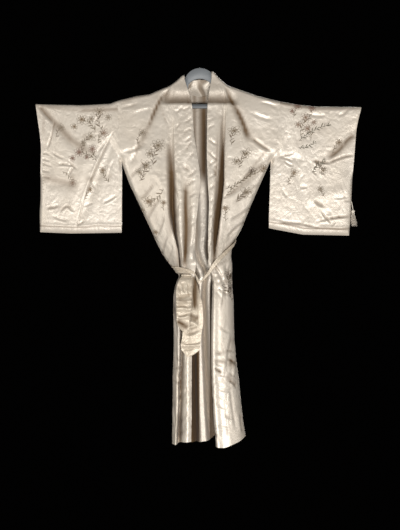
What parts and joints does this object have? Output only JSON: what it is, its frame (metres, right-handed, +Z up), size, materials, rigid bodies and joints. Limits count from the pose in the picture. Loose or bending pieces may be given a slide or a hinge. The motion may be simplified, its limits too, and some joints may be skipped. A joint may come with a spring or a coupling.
{
  "type": "silk kimono on a flat hanger",
  "caption": "Ivory silk kimono robe with wide sleeves, an open front, a tied sash and a cuff tassel, hung on a flat grey hanger.",
  "frame": {"origin": "middle of the flat back face of the hanger's crown, where the wall or rod behind it holds the garment", "axes": "+X to the viewer's right across the shoulders, +Y to the back, +Z up"},
  "size_m": [1.235, 0.1512, 1.4321],
  "materials": {
    "silk_body": "ivory silk satin with muted embroidery",
    "silk_collar": "ivory silk satin",
    "silk_sleeve": "ivory silk satin with muted embroidery",
    "silk_sash": "thin ivory silk",
    "tassel": "twisted silk thread",
    "hanger": "plain grey plastic"
  },
  "bodies": {
    "root": {"hanger": "hanger", "front_left": "silk_body", "front_right": "silk_body", "back_left": "silk_body", "back_right": "silk_body", "collar_left": "silk_collar", "collar_nape": "silk_collar", "collar_right": "silk_collar", "overlap_left": "silk_body", "overlap_right": "silk_body", "sleeve_left_front": "silk_sleeve", "sleeve_left_back": "silk_sleeve", "sleeve_right_front": "silk_sleeve", "sleeve_right_back": "silk_sleeve", "sash_band": "silk_sash", "sash_knot": "silk_sash", "sash_end_short": "silk_sash", "sash_end_long": "silk_sash", "tassel": "tassel"}
  },
  "joints": []
}
